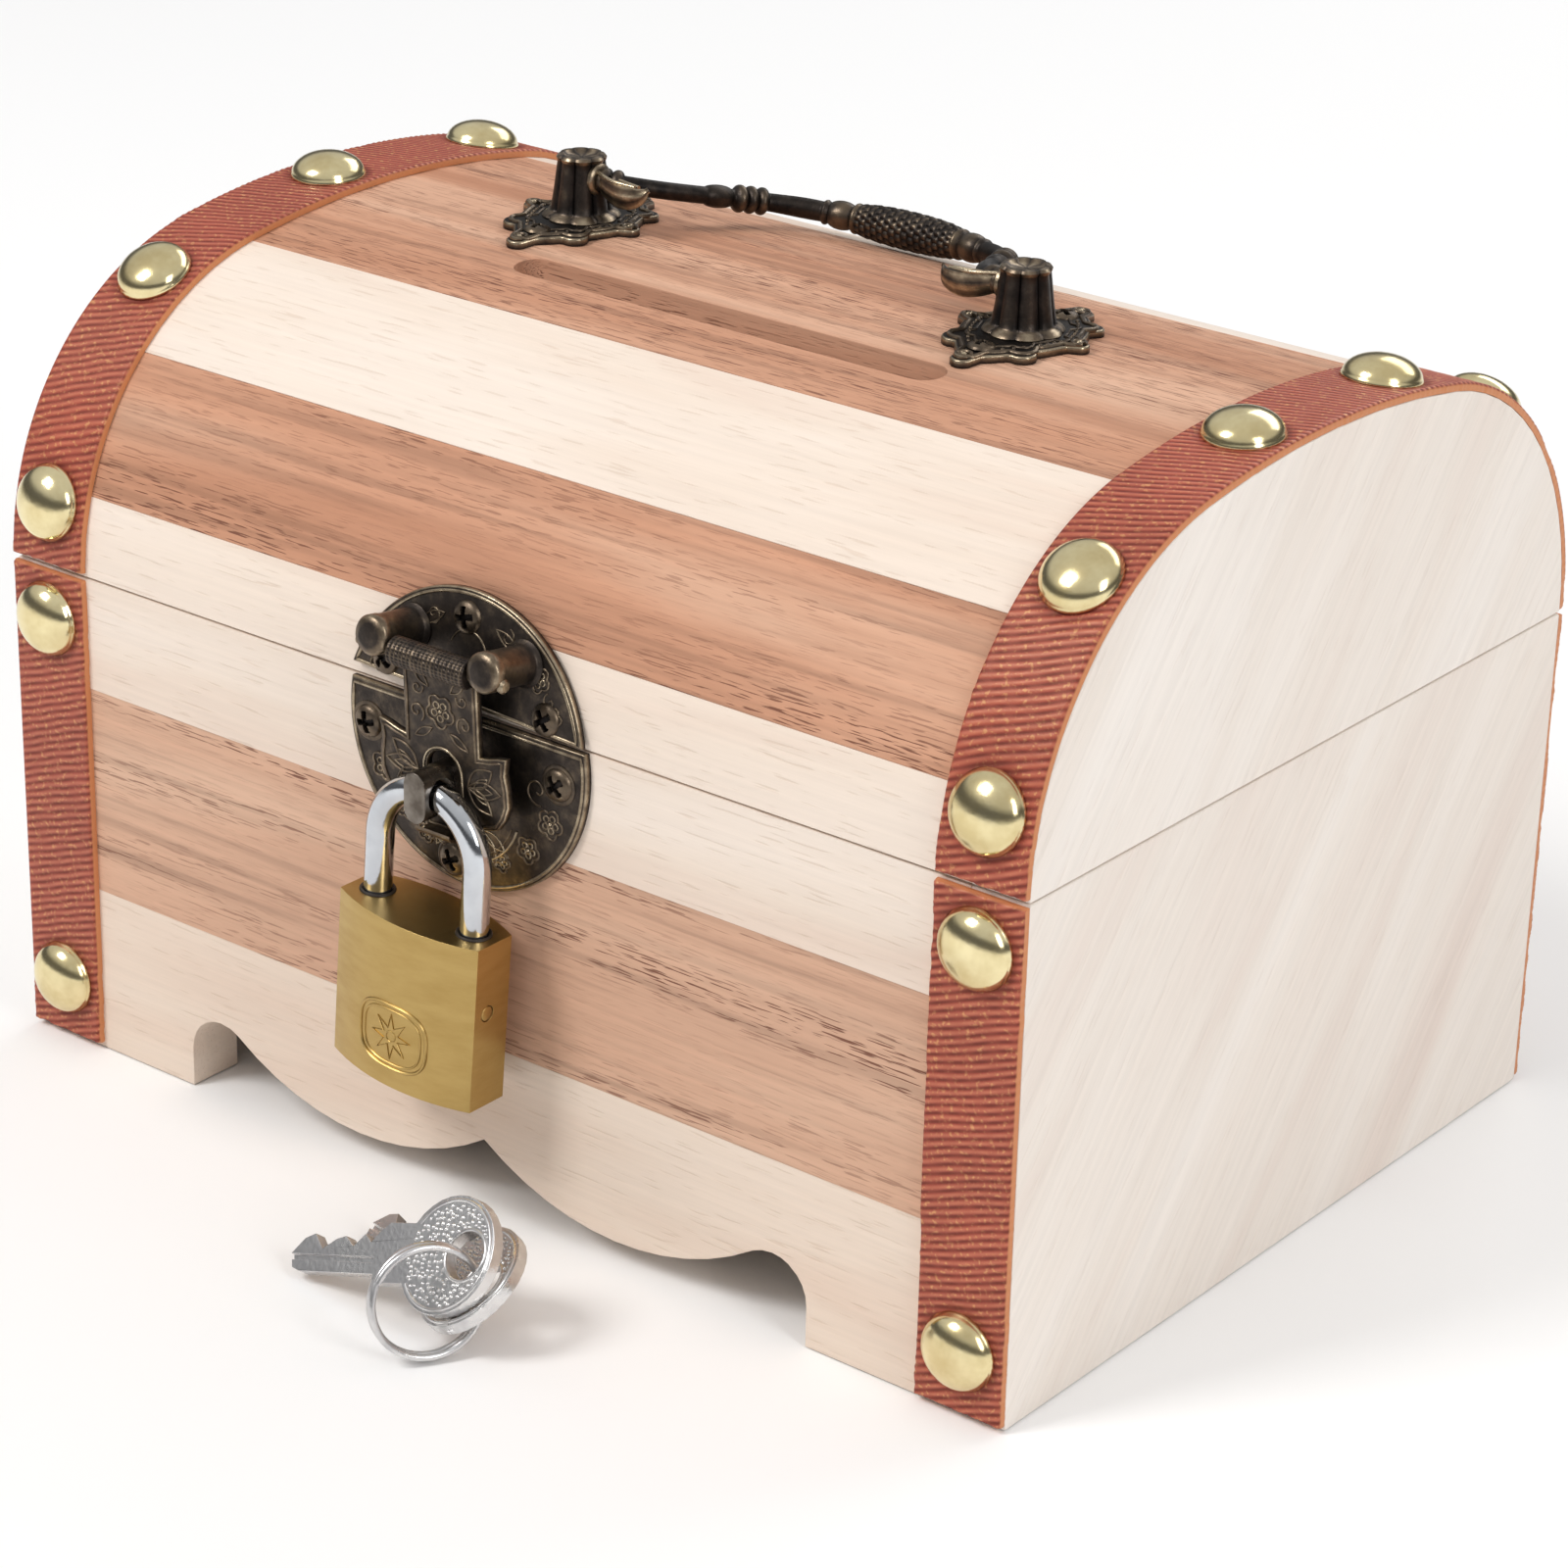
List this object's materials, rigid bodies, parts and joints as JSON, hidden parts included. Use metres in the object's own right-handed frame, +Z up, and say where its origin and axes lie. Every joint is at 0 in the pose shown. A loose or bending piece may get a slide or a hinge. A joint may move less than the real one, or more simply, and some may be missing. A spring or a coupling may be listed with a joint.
{
  "type": "money box",
  "caption": "Wooden chest money box with a barrel lid, coin slot, leather straps with nails, bail handle, hasp with a padlock, and keys on a ring.",
  "frame": {"origin": "on the ground, under the centre of the whole object's bounding box", "axes": "+X along the box to the right seen from the front, +Y from the front to the rear, +Z up"},
  "size_m": [0.18, 0.1752, 0.1303],
  "materials": {
    "pale_wood": "pale cream wood, washed and lightly sanded",
    "red_wood": "pinkish brown hardwood with dark pores",
    "strap_leather": "embossed terracotta leather with a slight golden sheen",
    "nail_brass": "polished pale brass",
    "antique_bronze": "brown-black antique finish with rubbed golden edges",
    "padlock_brass": "satin brushed brass",
    "chrome": "polished",
    "nickel": "nickel plated, slightly worn"
  },
  "bodies": {
    "base": {"base_front_upper_strip": "pale_wood", "base_front_middle_strip": "red_wood", "base_front_skirt": "pale_wood", "base_rear_upper_strip": "pale_wood", "base_rear_middle_strip": "red_wood", "base_rear_skirt": "pale_wood", "base_end_left": "pale_wood", "base_end_right": "pale_wood", "base_bottom": "pale_wood", "base_strap_front_left": "strap_leather", "base_strap_front_right": "strap_leather", "base_strap_rear_left": "strap_leather", "base_strap_rear_right": "strap_leather", "base_nail_left_1": "nail_brass", "base_nail_left_2": "nail_brass", "base_nail_right_1": "nail_brass", "base_nail_right_2": "nail_brass", "latch_lower_plate": "antique_bronze", "latch_staple": "antique_bronze", "hinge_base_leaf_left": "nail_brass", "hinge_base_leaf_right": "nail_brass", "hinge_pin_left": "nail_brass", "hinge_pin_right": "nail_brass"},
    "lid": {"lid_stave_1": "pale_wood", "lid_stave_2": "red_wood", "lid_stave_3": "pale_wood", "lid_stave_4": "red_wood", "lid_stave_5": "pale_wood", "lid_stave_6": "red_wood", "lid_stave_7": "pale_wood", "lid_end_left": "pale_wood", "lid_end_right": "pale_wood", "lid_strap_left": "strap_leather", "lid_strap_right": "strap_leather", "lid_nail_left_1": "nail_brass", "lid_nail_left_2": "nail_brass", "lid_nail_left_3": "nail_brass", "lid_nail_left_4": "nail_brass", "lid_nail_right_1": "nail_brass", "lid_nail_right_2": "nail_brass", "lid_nail_right_3": "nail_brass", "lid_nail_right_4": "nail_brass", "handle_post_left": "antique_bronze", "handle_post_right": "antique_bronze", "latch_upper_plate": "antique_bronze", "latch_pin": "antique_bronze", "hinge_lid_leaf_left": "nail_brass", "hinge_lid_leaf_right": "nail_brass"},
    "handle": {"handle_bail": "antique_bronze"},
    "hasp": {"hasp_flap": "antique_bronze"},
    "shackle": {"padlock_shackle": "chrome"},
    "padlock": {"padlock_body": "padlock_brass", "padlock_bolt": "padlock_brass", "padlock_side_pin": "padlock_brass"},
    "plug": {"padlock_plug": "padlock_brass"},
    "keys": {"key_1": "nickel", "key_2": "nickel", "key_ring": "nickel"}
  },
  "joints": [
    {"name": "lid_hinge", "type": "hinge", "parent": "base", "child": "lid", "pos_m": [0, 0.0859, 0.07515], "axis": [-1, 0, 0], "range_deg": [0, 110]},
    {"name": "handle_swing", "type": "hinge", "parent": "lid", "child": "handle", "pos_m": [-0.0015, 0.0215, 0.12705], "axis": [1, 0, 0], "range_deg": [0, 190]},
    {"name": "hasp_swing", "type": "hinge", "parent": "lid", "child": "hasp", "pos_m": [-0.002, -0.0535, 0.0845], "axis": [-1, 0, 0], "range_deg": [0, 90]},
    {"name": "padlock_removal", "type": "slide", "parent": "base", "child": "shackle", "axis": [0, -0.8, 0.6], "range_m": [0, 0.09]},
    {"name": "padlock_release", "type": "slide", "parent": "shackle", "child": "padlock", "axis": [-0.0698, 0, -0.9976], "range_m": [0, 0.0075]},
    {"name": "plug_turn", "type": "hinge", "parent": "padlock", "child": "plug", "pos_m": [-0.002, -0.0539, 0.0659], "axis": [0.0698, 0, 0.9976], "range_deg": [0, 90]},
    {"name": "keys_lift", "type": "slide", "parent": "base", "child": "keys", "axis": [0, -0.8, 0.6], "range_m": [0, 0.06]}
  ],
  "couplings": [
    {"joint": "hasp_swing", "follows": "padlock_removal", "rad_per_m": 17.4}
  ]
}
